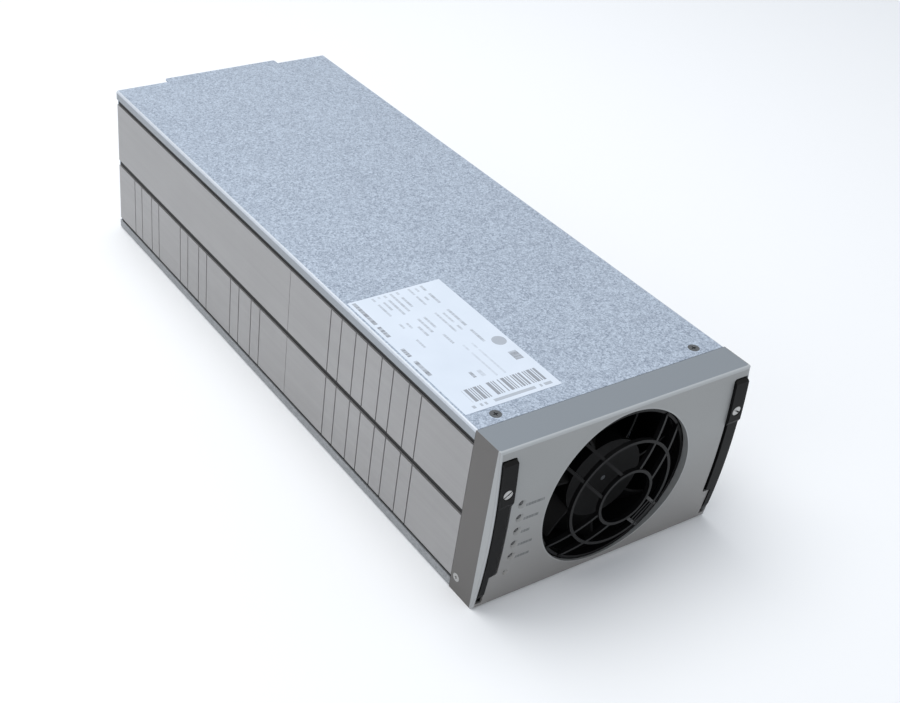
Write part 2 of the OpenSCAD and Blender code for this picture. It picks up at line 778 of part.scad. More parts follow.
module fan_magnet() {
    thick = 3;
    outer = hub_d / 2 - 2 - fit;
    color("gray") on_frame() difference() {
        rod_y(0, fan_y + 7, fan_z, outer, fan_depth - 16);
        rod_y(0, fan_y + 6, fan_z, outer - thick, fan_depth);
    }
}

module fan_shaft() {
    color("gainsboro") on_frame() rod_y(0, fan_y + 3.2, fan_z, shaft_r, fan_depth - 8.6);
}

module fan_bearings() {
    color("gainsboro") on_frame() for (y = [fan_y + 9.5, fan_rear_y - 9]) difference() {
        rod_y(0, y, fan_z, bearing_r, bearing_w);
        rod_y(0, y - 1, fan_z, shaft_r + run, bearing_w + 2);
    }
}

module fan_stator() {
    poles = 8;
    inner = bearing_r + 2 + fit;
    outer = hub_d / 2 - 6.5;
    core = 12;
    start = fan_rear_y - 7 - core;
    color("peru") on_frame() difference() {
        union() {
            rod_y(0, start, fan_z, inner + 3, core + 3 - seat);
            for (i = [0 : poles - 1]) translate([0, start, fan_z]) rotate([0, i * 360 / poles, 0]) {
                translate([inner, 0, -2.2]) cube([outer - inner, core, 4.4]);
                translate([outer - 2, 0, -5]) cube([2, core, 10]);
            }
        }
        rod_y(0, start - 1, fan_z, inner, core + 6);
    }
}

module fan_plate() {
    // Plate behind the fan, with folded edges that take the cover and tray screws
    wide = sink_in_x - fin_l - 1;
    flange_x = screw_x + 7;
    top = body_h - sheet;
    color("silver") on_frame() difference() {
        union() {
            block([-wide, fan_rear_y, sheet], [wide, fan_rear_y + sheet, top]);
            block([-flange_x, inner_y + 3.4, top - sheet], [flange_x, fan_rear_y + sheet, top]);
            block([-flange_x, inner_y + 3.4, sheet], [flange_x, fan_rear_y + sheet, 2 * sheet]);
            for (x = [-screw_x, screw_x]) {
                translate([x, screw_y, top - sheet - 3]) cylinder(d = screw_d + 4, h = 3 + eps);
                translate([x, screw_y, 2 * sheet - eps]) cylinder(d = screw_d + 4, h = 3);
            }
        }
        rod_y(0, fan_y, fan_z, duct_r, fan_depth * 2);
        fan_corners(fan_screw_d / 2 + 0.2, fan_rear_y - 1, 5);
        for (x = [-screw_x, screw_x]) translate([x, screw_y, 0]) {
            screw_cone(body_h, true);
            screw_cone(0, false);
            cylinder(d = screw_d, h = body_h);
        }
    }
}

module fan_screws() {
    head_y = fan_y - guard_lug_t;
    color("dimgray") on_frame() difference() {
        union() {
            fan_corners(fan_screw_d / 2, head_y - 0.5, fan_depth + guard_lug_t + sheet + 4.9);
            fan_corners(fan_screw_d * 0.9, head_y - fan_screw_head_h, fan_screw_head_h);
        }
        for (x = [-1, 1], z = [-1, 1])
            translate([x * fan_holes / 2, head_y - fan_screw_head_h, fan_z + z * fan_holes / 2]) for (a = [0, 90]) rotate([0, a, 0]) translate([-2, -eps, -0.4]) cube([4, 0.9, 0.8]);
    }
}

module fan_nuts() {
    nut_h = 3.2;
    color("silver") on_frame() difference() {
        for (x = [-1, 1], z = [-1, 1])
            translate([x * fan_holes / 2, fan_rear_y + sheet + nut_h, fan_z + z * fan_holes / 2])
                rotate([90, 0, 0]) cylinder(r = 4, h = nut_h, $fn = 6);
        fan_corners(fan_screw_d / 2 + fit, fan_rear_y, 10);
    }
}

// ---- Handles ----

module handle_outline() {
    // Front view of the right-hand handle
    corner = 1.5;
    in_x = handle_out_x - handle_w;
    stem_x = in_x + 1.8;
    shank_x = handle_out_x - shank_w;
    foot_r = 4;
    difference() {
        union() {
            translate([in_x, handle_kink_z]) square([handle_w, handle_l - handle_kink_z + hinge_z - corner]);
            translate([in_x + corner, handle_kink_z]) square([handle_w - 2 * corner, handle_top - handle_kink_z]);
            for (x = [in_x + corner, handle_out_x - corner])
                translate([x, handle_top - corner]) circle(corner, $fn = 32);
            translate([stem_x, handle_foot_z + foot_r])
                square([handle_out_x - stem_x, handle_kink_z - handle_foot_z - foot_r + eps]);
            translate([stem_x + foot_r, handle_foot_z + foot_r]) circle(foot_r, $fn = 48);
            translate([stem_x + foot_r, handle_foot_z]) square([handle_out_x - stem_x - foot_r, foot_r + eps]);
            translate([shank_x, 0]) square([shank_w, handle_foot_z + foot_r]);
        }
    }
}

module handle_profile() {
    // Side view: front and back follow the panel's bow, the foot curves round the hinge
    steps = 12;
    kink = 3;
    low_proud = handle_proud - 1.4;
    upper = [for (i = [0 : steps]) let (z = handle_kink_z + kink + i * (handle_top - handle_kink_z - kink - 2) / steps)
        [front_at(z) - handle_proud, z]];
    lower = [for (i = [0 : steps]) let (z = hinge_z + 1 + i * (handle_kink_z - hinge_z - 1) / steps)
        [front_at(z) - low_proud, z]];
    back = [for (i = [0 : 2 * steps]) let (z = handle_top - i * (handle_top - hinge_z - 9) / (2 * steps))
        [front_at(z) + handle_depth, z]];
    foot = [[hinge_y - 1, hinge_z + 5], [hinge_y - 1, hinge_z - 3],
        [front_at(hinge_z) - low_proud + 1.5, hinge_z - 3]];
    polygon(concat(lower, upper, [[front_at(handle_top) - handle_proud + 2, handle_top]], back, foot));
}

module handle() {
    head_y = front_at(handle_screw_z) - handle_proud + 0.2;
    color("black") on_frame() difference() {
        intersection() {
            union() {
                along_x(slot_in_x - 1, 20) handle_profile();
                rod_x(slot_in_x - 1, hinge_y, hinge_z, hinge_boss_r, 20);
            }
            along_y(-30, 60) handle_outline();
        }
        rod_x(slot_in_x - 2, hinge_y, hinge_z, hinge_pin_d / 2 + run, 30);
        rod_x(slot_in_x - 2, hinge_y, hinge_z, foot_swing_r, handle_out_x - shank_w - slot_in_x + 2);
        rod_y(handle_screw_x, -30, handle_screw_z, handle_screw_head_d / 2 + seat, 30 + head_y + handle_screw_head_h);
        rod_y(handle_screw_x, -30, handle_screw_z, handle_screw_d / 2 + 0.2, 60);
        // Hollow back of the grip
        along_x(handle_out_x - handle_w + 3.6, handle_w - 5.4) hollow_profile();
    }
}

module hollow_profile() {
    low = handle_foot_z + 8;
    high = handle_screw_z - 8;
    steps = 8;
    front = [for (i = [0 : steps]) let (z = low + i * (high - low) / steps) [front_at(z) + 1.4, z]];
    polygon(concat(front, [[12, high], [12, low]]));
}

module handle_screw() {
    head_y = front_at(handle_screw_z) - handle_proud + 0.2;
    shank_l = handle_depth + handle_proud - handle_screw_head_h + 1;
    color("gainsboro") on_frame() difference() {
        union() {
            rod_y(handle_screw_x, head_y, handle_screw_z, handle_screw_head_d / 2, handle_screw_head_h);
            rod_y(handle_screw_x, head_y, handle_screw_z, handle_screw_d / 2, handle_screw_head_h + shank_l);
        }
        translate([handle_screw_x, head_y, handle_screw_z]) rotate([0, 35, 0])
            translate([-handle_screw_head_d, -1, -0.5]) cube([2 * handle_screw_head_d, 2.2, 1]);
    }
}

module handle_bracket() {
    // Bracket that closes the slot from behind and holds the hinge pin and the screw's bush
    wall_x = slot_in_x - sheet - slip;
    low = 6;
    high = handle_top + 1;
    plate_low = 28;
    steps = 16;
    edge = [for (i = [0 : steps]) let (z = low + i * (high - low) / steps) [front_at(z) + panel_t + seat, z]];
    boss_end = handle_out_x - shank_w - slip;
    color("gray") on_frame() difference() {
        union() {
            along_x(wall_x, sheet) polygon(concat(edge, [[bracket_y + sheet, high], [bracket_y + sheet, low]]));
            block([wall_x, bracket_y, plate_low], [side_x - panel_t, bracket_y + sheet, high]);
            rod_x(wall_x, hinge_y, hinge_z, hinge_pin_d / 2 + 2, boss_end - wall_x);
            rod_y(handle_screw_x, bracket_y - 5.6, handle_screw_z, 4.2, 5.6 + eps);
        }
        rod_x(wall_x - 1, hinge_y, hinge_z, hinge_pin_d / 2 + fit, 30);
        rod_y(handle_screw_x, 0, handle_screw_z, handle_screw_d / 2 + 0.1, 30);
    }
}

module hinge_pin() {
    start = slot_in_x - sheet - slip;
    color("gainsboro") on_frame() rod_x(start, hinge_y, hinge_z, hinge_pin_d / 2, side_x - panel_t - 0.1 - start);
}

// ---- Boards and power parts ----

module lower_board() {
    color("darkgreen") on_frame() block([-lower_board_x, board_front, lower_board_z],
                                        [lower_board_x, board_rear, lower_top]);
}

module board_pillars() {
    inset = 8;
    color("silver") on_frame()
        for (x = [-lower_board_x + inset, 0, lower_board_x - inset], i = [0 : 3])
            translate([x, board_front + inset + i * (board_rear - board_front - 2 * inset) / 3, sheet])
                cylinder(d = 7, h = lower_board_z - sheet);
}

module upper_board() {
    edge = sink_in_x - 3 - run;
    color("darkgreen") on_frame() block([-edge + 0.2, board_front, middle_z - board_t / 2],
                                        [edge - 0.2, board_rear, middle_z + board_t / 2]);
}

module toroid(outer, inner, height) {
    corner = 4;
    rotate_extrude() translate([inner, 0]) {
        translate([0, 0]) square([outer - inner, height - corner]);
        translate([corner, 0]) square([outer - inner - 2 * corner, height]);
        for (x = [corner, outer - inner - corner]) translate([x, height - corner]) circle(corner, $fn = 32);
    }
}

module filter_chokes() {
    color("goldenrod") on_frame() for (s = [-1, 1], y = [station(0.08), station(0.207)])
        translate([s * 0.557 * free_x, y, lower_top]) toroid(choke_r, choke_hole_r, 0.42 * under_board);
}

module boost_chokes() {
    color("firebrick") on_frame() for (i = [-1 : 1])
        translate([i * 0.63 * free_x, station(0.354), lower_top]) toroid(choke_r, choke_hole_r, 0.7 * under_board);
}

module can(d, h) {
    // Capacitor can with a rounded shoulder and a rolled groove near its foot
    shoulder = 2;
    groove = 1.2;
    rotate_extrude() difference() {
        union() {
            square([d / 2, h - shoulder]);
            square([d / 2 - shoulder, h]);
            translate([d / 2 - shoulder, h - shoulder]) circle(shoulder, $fn = 32);
        }
        translate([d / 2 + 0.3, 5]) circle(groove, $fn = 24);
    }
}

module bulk_capacitors() {
    color("midnightblue") on_frame() for (i = [0 : 3], y = [station(0.515), station(0.602)])
        translate([(i - 1.5) * 0.46 * free_x, y, lower_top]) can(bulk_d, bulk_h);
}

module output_capacitors() {
    color("midnightblue") on_frame() for (i = [0 : 5], y = [station(0.786), station(0.844)])
        translate([(i - 2.5) * 0.3 * free_x, y, upper_top]) can(output_d, output_h);
}

module core_place() {
    on_frame() for (i = [-1 : 1]) translate([i * (core_w + 2), station(0.577), upper_top]) children();
}

module transformer_cores() {
    color("dimgray") core_place() difference() {
        translate([-core_w / 2, -core_l / 2, 0]) cube([core_w, core_l, core_h]);
        for (s = [-1, 1]) translate([s > 0 ? core_leg : -core_w / 2 + core_leg, -core_l, core_leg])
            cube([core_w / 2 - 2 * core_leg, 2 * core_l, core_h - 2 * core_leg]);
    }
}

module transformer_windings() {
    // The windings bulge out of the core's windows in front and behind
    reach = 0.3 * core_l;
    wind_h = core_h - 2 * core_leg - 2 * seat;
    half = core_w / 2 - core_leg - seat;
    color("orange") core_place() difference() {
        translate([0, 0, core_leg + seat]) linear_extrude(wind_h) {
            square([2 * half, core_l + 2 * reach - 12], center = true);
            square([2 * half - 12, core_l + 2 * reach], center = true);
            for (x = [-1, 1], y = [-1, 1])
                translate([x * (half - 6), y * (core_l / 2 + reach - 6)]) circle(6, $fn = 32);
        }
        translate([-core_leg - seat, -core_l / 2 - seat, 0])
            cube([2 * core_leg + 2 * seat, core_l + 2 * seat, core_h]);
    }
}

module control_board() {
    // Populated board that stands on the upper board
    height = 0.74 * over_board;
    half = 0.88 * free_x;
    y = station(0.383);
    color("darkgreen") on_frame() translate([0, y, upper_top]) {
        block([-half, 0, 0], [half, board_t, height]);
        block([-0.8 * half, -3, 0.3 * height], [-0.58 * half, eps, 0.62 * height]);
        block([-0.1 * half, -4, 0.2 * height], [0.2 * half, eps, 0.75 * height]);
        block([0.48 * half, -9, 0.04 * height], [0.84 * half, eps, 0.25 * height]);
    }
}

module transistor(z) {
    // Package against the heat sink, with three legs bent down to the board
    body = transistor_size;
    leg = 0.8;
    leg_x = sink_in_x - body[0] - 2;
    foot = z == lower_sink_z ? lower_top : upper_top;
    low = z + transistor_lift;
    block([sink_in_x - body[0], -body[1] / 2, low], [sink_in_x, body[1] / 2, low + body[2]]);
    for (i = [-1 : 1]) {
        block([leg_x, i * 5 - leg / 2, low + 1], [sink_in_x - body[0] + eps, i * 5 + leg / 2, low + 1 + leg]);
        block([leg_x, i * 5 - leg / 2, foot], [leg_x + leg, i * 5 + leg / 2, low + 1 + leg]);
    }
}

module transistors() {
    color("black") on_frame() {
        for (y = front_cuts, z = [lower_sink_z, upper_sink_z]) translate([0, y, 0]) transistor(z);
        for (y = rear_cuts) translate([0, y, 0]) transistor(lower_sink_z);
    }
}

top_cover();
bottom_tray();
rating_label();
rear_panel();
front_panel();
left_side() front_upper_sink();  // left_front_upper_sink
left_side() front_lower_sink();  // left_front_lower_sink
left_side() rear_upper_sink();  // left_rear_upper_sink
left_side() rear_lower_sink();  // left_rear_lower_sink
front_upper_sink();  // right_front_upper_sink
front_lower_sink();  // right_front_lower_sink
rear_upper_sink();  // right_rear_upper_sink
rear_lower_sink();  // right_rear_lower_sink
left_side() top_strip();  // left_top_strip
left_side() middle_strip();  // left_middle_strip
left_side() bottom_strip();  // left_bottom_strip
top_strip();  // right_top_strip
middle_strip();  // right_middle_strip
bottom_strip();  // right_bottom_strip
fan_guard();
fan_frame();
fan_rotor();
fan_magnet();
fan_shaft();
fan_bearings();
fan_stator();
fan_plate();
fan_screws();
fan_nuts();
left_side() handle();  // left_handle
left_side() handle_screw();  // left_handle_screw
left_side() handle_bracket();  // left_handle_bracket
left_side() hinge_pin();  // left_hinge_pin
handle();  // right_handle
handle_screw();  // right_handle_screw
handle_bracket();  // right_handle_bracket
hinge_pin();  // right_hinge_pin
indicator_board();
indicator_lights();
board_nuts();
cover_screws();
tray_screws();
panel_screws();
lower_board();
board_pillars();
upper_board();
filter_chokes();
boost_chokes();
bulk_capacitors();
transformer_cores();
transformer_windings();
output_capacitors();
control_board();
left_side() transistors();  // left_transistors
transistors();  // right_transistors
output_bars();
rear_connector();
connector_contacts();
left_side() guide_bush();  // left_guide_bush
guide_bush();  // right_guide_bush
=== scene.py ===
import bpy
import mathutils
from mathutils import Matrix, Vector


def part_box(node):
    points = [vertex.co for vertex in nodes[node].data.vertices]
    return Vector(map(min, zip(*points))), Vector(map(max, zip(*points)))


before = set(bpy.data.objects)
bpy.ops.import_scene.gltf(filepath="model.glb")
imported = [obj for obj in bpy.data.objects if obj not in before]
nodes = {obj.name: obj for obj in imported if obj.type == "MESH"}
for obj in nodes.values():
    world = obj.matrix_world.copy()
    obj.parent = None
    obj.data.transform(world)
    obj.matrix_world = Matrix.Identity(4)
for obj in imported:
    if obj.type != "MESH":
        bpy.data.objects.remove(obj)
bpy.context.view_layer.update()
print("loaded", len(nodes), "nodes")

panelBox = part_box("front_panel")
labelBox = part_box("rating_label")
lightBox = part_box("indicator_lights")
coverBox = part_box("top_cover")
mm = 0.001


# ---- camera ----

cameraSet = {
    "across": -0.54019,
    "ahead": 0.45652,  # in front of the case's own front edge
    "height": 0.62230,
    "panelDepth": 0.0253,
    "right": (0.85155, -0.51933, 0.07179),
    "forward": (0.44351, 0.64055, -0.62689),
    "lens": 53.28,
    "sensor": 36.0,
    "shift": (0.1275, 0.1140),
    "clip": (0.01, 60.0),
}


def makeCamera():
    data = bpy.data.cameras.new("studioCamera")
    data.sensor_width = cameraSet["sensor"]
    data.lens = cameraSet["lens"]
    data.shift_x, data.shift_y = cameraSet["shift"]
    data.clip_start, data.clip_end = cameraSet["clip"]
    camera = bpy.data.objects.new("studioCamera", data)
    bpy.context.scene.collection.objects.link(camera)
    back = -mathutils.Vector(cameraSet["forward"]).normalized()
    right = mathutils.Vector(cameraSet["right"])
    right = (right - back * right.dot(back)).normalized()
    up = back.cross(right)
    turn = mathutils.Matrix((right, up, back)).transposed().to_4x4()
    front = panelBox[1][1] - cameraSet["panelDepth"]
    place = (cameraSet["across"], front - cameraSet["ahead"], cameraSet["height"])
    camera.matrix_world = mathutils.Matrix.Translation(place) @ turn
    bpy.context.scene.camera = camera


makeCamera()
print("camera placed")


# ---- shader helpers ----

class Sock:
    # a socket that can be used in sums; each operator adds one Math node
    def __init__(self, finish, link):
        self.finish = finish
        self.link = link

    def maths(self, operation, first, second=0.0):
        return self.finish.make("ShaderNodeMath", {"operation": operation}, {0: first, 1: second})

    def __add__(self, other):
        return self.maths("ADD", self, other)

    def __sub__(self, other):
        return self.maths("SUBTRACT", self, other)

    def __rsub__(self, other):
        return self.maths("SUBTRACT", other, self)

    def __mul__(self, other):
        return self.maths("MULTIPLY", self, other)

    def __truediv__(self, other):
        return self.maths("DIVIDE", self, other)

    def __pow__(self, other):
        return self.maths("POWER", self, other)

    def __gt__(self, other):
        return self.maths("GREATER_THAN", self, other)

    def __lt__(self, other):
        return self.maths("LESS_THAN", self, other)

    def absolute(self):
        return self.maths("ABSOLUTE", self)

    def floor(self):
        return self.maths("FLOOR", self)

    def fraction(self):
        return self.maths("FRACT", self)

    def most(self, other):
        return self.maths("MAXIMUM", self, other)


class Finish:
    # one procedural material
    def __init__(self, name, metallic=0.0, roughness=0.5, **uniform):
        self.material = bpy.data.materials.new(name)
        self.material.use_nodes = True
        self.tree = self.material.node_tree
        self.tree.nodes.clear()
        self.shader = self.tree.nodes.new("ShaderNodeBsdfPrincipled")
        self.end = self.tree.nodes.new("ShaderNodeOutputMaterial")
        self.tree.links.new(self.shader.outputs[0], self.end.inputs[0])
        self.shader.inputs["Metallic"].default_value = metallic
        self.shader.inputs["Roughness"].default_value = roughness
        for socket, value in uniform.items():
            self.shader.inputs[socket.replace("_", " ").title().replace("Ior", "IOR")].default_value = value
        self.coords = None

    def make(self, kind, settings=None, inputs=None, out=0):
        node = self.tree.nodes.new(kind)
        for key, value in (settings or {}).items():
            if key == "stops":
                ramp = node.color_ramp
                while len(ramp.elements) < len(value):
                    ramp.elements.new(0.5)
                for element, (place, colour) in zip(ramp.elements, value):
                    element.position = place
                    element.color = colour
            elif key == "blend":
                node.color_ramp.interpolation = value
            else:
                setattr(node, key, value)
        for key, value in (inputs or {}).items():
            if isinstance(value, Sock):
                self.tree.links.new(value.link, node.inputs[key])
            else:
                node.inputs[key].default_value = value
        return Sock(self, node.outputs[out])

    def feed(self, socket, value):
        if isinstance(value, Sock):
            self.tree.links.new(value.link, self.shader.inputs[socket])
        else:
            self.shader.inputs[socket].default_value = value

    def place(self):
        if self.coords is None:
            self.coords = self.make("ShaderNodeTexCoord", out="Object")
        return self.coords

    def axes(self):
        at = self.place()
        return [self.make("ShaderNodeSeparateXYZ", inputs={0: at}, out=i) for i in range(3)]

    def scaled(self, factors):
        return self.make("ShaderNodeVectorMath", {"operation": "MULTIPLY"},
                         {0: self.place(), 1: factors})

    def noise(self, scale, detail, rough, at=None):
        return self.make("ShaderNodeTexNoise", None,
                         {"Vector": at or self.place(), "Scale": scale, "Detail": detail,
                          "Roughness": rough})

    def cells(self, scale):
        # one random level for each cell
        found = self.make("ShaderNodeTexVoronoi", None, {"Vector": self.place(), "Scale": scale}, "Color")
        return self.make("ShaderNodeSeparateColor", None, {0: found}, 0)

    def random(self, value, seed=0.0):
        return self.make("ShaderNodeTexWhiteNoise", {"noise_dimensions": "2D"},
                         {"Vector": self.make("ShaderNodeCombineXYZ", None, {0: value, 1: seed})}, "Value")

    def blend(self, amount, first, second):
        return self.make("ShaderNodeMix", {"data_type": "RGBA"}, {0: amount, 6: first, 7: second}, 2)

    def steps(self, value, stops, blend="LINEAR"):
        colours = [(place, (level, level, level, 1.0)) for place, level in stops]
        ramp = self.make("ShaderNodeValToRGB", {"stops": colours, "blend": blend}, {0: value})
        return self.make("ShaderNodeSeparateColor", None, {0: ramp}, 0)

    def bump(self, height, strength, distance):
        inputs = {"Strength": strength, "Distance": distance, "Height": height}
        self.feed("Normal", self.make("ShaderNodeBump", None, inputs, "Normal"))

    def onto(self, *names):
        for name in names:
            slots = nodes[name].data.materials
            if len(slots) == 0:
                slots.append(self.material)
            for i in range(len(slots)):
                slots[i] = self.material
        return self


def rgb(r, g, b):
    return (r, g, b, 1.0)


def inside(value, middle, half):
    # 1 where value is within half of middle
    return (value - middle).absolute() < half


# ---- finishes ----

zincSet = {
    "light": rgb(0.47, 0.54, 0.63), "dark": rgb(0.19, 0.23, 0.30),
    # edge is a painted highlight on the bent long edges; flange is painted shade on the side flanges
    "edge": rgb(0.60, 0.63, 0.67), "flange": rgb(0.24, 0.26, 0.28),
    "innerLight": rgb(0.52, 0.58, 0.65), "innerDark": rgb(0.22, 0.26, 0.31),
    "trayLight": rgb(0.36, 0.37, 0.38), "trayDark": rgb(0.20, 0.21, 0.22),
    "metallic": 0.3, "rough": 0.38, "roughSpan": 0.2, "grain": 620.0, "speck": 900.0, "cloud": 14.0,
    "grainShare": 0.42, "speckShare": 0.44, "cloudShare": 0.14,
    "speckStops": [(0.36, 0.0), (0.64, 1.0)], "toneStops": [(0.12, 0.0), (0.84, 1.0)],
    "edgeWidth": 0.0016, "edgeShare": 0.75, "flangeDrop": 0.0019, "flangeShare": 0.8,
}


def zincSheet(name, light, dark, edges=False):
    finish = Finish(name, metallic=zincSet["metallic"])
    grain = finish.cells(zincSet["grain"])
    speck = finish.noise(zincSet["speck"], 2.0, 0.6)
    cloud = finish.noise(zincSet["cloud"], 3.0, 0.6)
    fine = finish.steps(speck, zincSet["speckStops"])
    tone = grain * zincSet["grainShare"] + fine * zincSet["speckShare"] + cloud * zincSet["cloudShare"]
    colour = finish.blend(finish.steps(tone, zincSet["toneStops"]), dark, light)
    if edges:
        # painted highlight along the bent long edges, then painted shade on the side flanges below the bend
        x, y, z = finish.axes()
        side = x.absolute() > coverBox[1][0] - zincSet["edgeWidth"]
        low = z < coverBox[1][2] - zincSet["flangeDrop"]
        colour = finish.blend(side * zincSet["edgeShare"], colour, zincSet["edge"])
        colour = finish.blend(low * zincSet["flangeShare"], colour, zincSet["flange"])
    finish.feed("Base Color", colour)
    finish.feed("Roughness", grain * zincSet["roughSpan"] + zincSet["rough"])
    finish.bump(speck, 0.1, 0.0002)
    return finish


zincSheet("zincCover", zincSet["light"], zincSet["dark"], edges=True).onto("top_cover")
zincSheet("zincInner", zincSet["innerLight"], zincSet["innerDark"]).onto("rear_panel", "fan_plate")
zincSheet("trayZinc", zincSet["trayLight"], zincSet["trayDark"]).onto(
    "bottom_tray", "left_handle_bracket", "right_handle_bracket")


aluminiumSet = {
    "bright": rgb(0.42, 0.415, 0.415), "dull": rgb(0.26, 0.255, 0.255), "metallic": 0.45, "rough": 0.32,
    "streaks": 260.0, "stretch": (1.0, 0.02, 1.0), "patches": 14.0, "scuffs": 90.0,
    "scuffStops": [(0.58, 0.0), (0.78, 1.0)],
    "streakShare": 0.35, "patchShare": 0.55, "scuffShare": 0.12,
}


def drawnAluminium():
    finish = Finish("drawnAluminium", metallic=aluminiumSet["metallic"])
    streaks = finish.noise(aluminiumSet["streaks"], 3.0, 0.6, finish.scaled(aluminiumSet["stretch"]))
    patches = finish.noise(aluminiumSet["patches"], 3.0, 0.55)
    scuffs = finish.steps(finish.noise(aluminiumSet["scuffs"], 4.0, 0.7), aluminiumSet["scuffStops"])
    tone = streaks * aluminiumSet["streakShare"] + patches * aluminiumSet["patchShare"]
    tone = tone + scuffs * aluminiumSet["scuffShare"]
    finish.feed("Base Color", finish.blend(tone, aluminiumSet["dull"], aluminiumSet["bright"]))
    finish.feed("Roughness", patches * 0.2 + scuffs * 0.1 + aluminiumSet["rough"])
    finish.bump(streaks, 0.05, 0.0001)
    return finish


drawnAluminium().onto(*[n for n in nodes if n.endswith("_sink")])


panelSet = {
    # front is the face colour and low its painted shade towards the bottom, low also tints the mottle; top
    # and side are painted shade on the returns; edge is a painted highlight; wall is painted shade in the
    # fan opening
    "front": rgb(0.335, 0.345, 0.345), "low": rgb(0.255, 0.245, 0.235), "top": rgb(0.20, 0.225, 0.25),
    "side": rgb(0.118, 0.112, 0.107), "edge": rgb(0.50, 0.52, 0.53), "print": rgb(0.085, 0.09, 0.095),
    "wall": rgb(0.003, 0.003, 0.003), "rough": 0.34, "metallic": 0.25,
    "grain": 1600.0, "cloud": 16.0, "grainShare": 0.12, "cloudShare": 0.22,
    "riseStops": [(0.05, 1.0), (0.75, 0.0)], "topSkin": 0.0006, "sideSkin": 0.0004,
    # painted highlights on the front edges: width, how far back they reach, strength
    "edgeWidth": 0.0016, "edgeBack": 0.0068, "upperMiddle": 0.0008, "upperHalf": 0.0009, "upperBack": 0.0062,
    "edgeShare": 0.6,
    # fan opening: centre, radius, painted highlight on the rim, where the painted shade of the dark wall
    # starts
    "fanX": 0.0, "fanZ": 0.06755, "fanR": 0.0613, "rimWidth": 0.0009, "wallGap": 0.0003,
    "rimTilt": 1.2, "rimSpan": 0.12, "rimStops": [(0.0, 0.25), (0.55, 1.0)], "rimShare": 0.85,
    # dashes beside the lights, lengths in millimetres
    "lines": (15.0, 12.0, 7.0, 11.5, 11.6), "lineHalf": 0.0011, "lineStart": 0.0055, "linePitch": 0.0112,
    "firstLine": 0.0474, "lineBack": 0.006, "letters": 900.0, "printShare": 0.75,
}


def panelDashes(finish, x, z):
    first = panelBox[1][2] - panelSet["firstLine"]
    start = lightBox[0][0] + panelSet["lineStart"]
    marks = None
    for i, long in enumerate(panelSet["lines"]):
        half = long * mm / 2
        mark = inside(z, first - i * panelSet["linePitch"], panelSet["lineHalf"])
        mark = mark * inside(x, start + half, half)
        marks = mark if marks is None else marks + mark
    letters = finish.random((x * panelSet["letters"]).floor(), 3.0) * 0.5 + 0.5
    return marks * letters


def panelPaint():
    finish = Finish("panelPaint", metallic=panelSet["metallic"])
    x, y, z = finish.axes()
    grain = finish.noise(panelSet["grain"], 2.0, 0.6)
    cloud = finish.noise(panelSet["cloud"], 3.0, 0.6)
    face, high, wide = panelBox[0][1], panelBox[1][2], panelBox[1][0]
    # painted shade: the face turns darker and warmer towards the bottom
    rise = finish.steps(z / high, panelSet["riseStops"])
    base = finish.blend(rise, panelSet["front"], panelSet["low"])
    mottle = cloud * panelSet["cloudShare"] + grain * panelSet["grainShare"]
    base = finish.blend(mottle, base, panelSet["low"])
    # painted shade on the top return and the side returns
    base = finish.blend(z > high - panelSet["topSkin"], base, panelSet["top"])
    base = finish.blend(x.absolute() > wide - panelSet["sideSkin"], base, panelSet["side"])
    # painted highlights: bright lines along the upright front edges, the top edge and round the fan opening
    upright = (x.absolute() > wide - panelSet["edgeWidth"]) * (y < face + panelSet["edgeBack"])
    upper = inside(z, high - panelSet["upperMiddle"], panelSet["upperHalf"])
    upper = upper * (y < face + panelSet["upperBack"])
    away = ((x - panelSet["fanX"]) ** 2.0 + (z - panelSet["fanZ"]) ** 2.0) ** 0.5
    rim = away < panelSet["fanR"] + panelSet["rimWidth"]
    wall = away < panelSet["fanR"] - panelSet["wallGap"]
    # the painted highlight on the rim is brightest towards the lower right
    low = finish.steps((x - z * panelSet["rimTilt"]) / panelSet["rimSpan"], panelSet["rimStops"])
    wearAndHighlight = (upright.most(upper) * panelSet["edgeShare"]).most(rim * low * panelSet["rimShare"])
    base = finish.blend(wearAndHighlight, base, panelSet["edge"])
    # painted shade: the collar wall inside the fan opening is painted near-black
    base = finish.blend(wall, base, panelSet["wall"])
    front = y < face + panelSet["lineBack"]
    dashes = panelDashes(finish, x, z) * front * panelSet["printShare"]
    finish.feed("Base Color", finish.blend(dashes, base, panelSet["print"]))
    finish.feed("Roughness", grain * 0.1 + cloud * 0.1 + panelSet["rough"])
    finish.bump(grain, 0.06, 0.0001)
    return finish


panelPaint().onto("front_panel")


plasticSet = {"wear": 45.0, "tint": 1.06, "wearAndHighlight": 1.8, "wornTint": 1.9, "roughSpan": 0.16, "roughDrop": 0.08}


def blackPlastic(name, shade, rough, grainScale, strength, coat=0.0, gloss=0.5):
    finish = Finish(name, roughness=rough, coat_weight=coat, specular_ior_level=gloss)
    grain = finish.noise(grainScale, 2.0, 0.6)
    wear = finish.noise(plasticSet["wear"], 3.0, 0.6)
    fresh = rgb(shade, shade, shade * plasticSet["tint"])
    wearAndHighlight = rgb(shade * plasticSet["wearAndHighlight"], shade * plasticSet["wearAndHighlight"], shade * plasticSet["wornTint"])
    finish.feed("Base Color", finish.blend(wear, fresh, wearAndHighlight))
    finish.feed("Roughness", wear * plasticSet["roughSpan"] + rough - plasticSet["roughDrop"])
    finish.bump(grain, strength, 0.0002)
    return finish


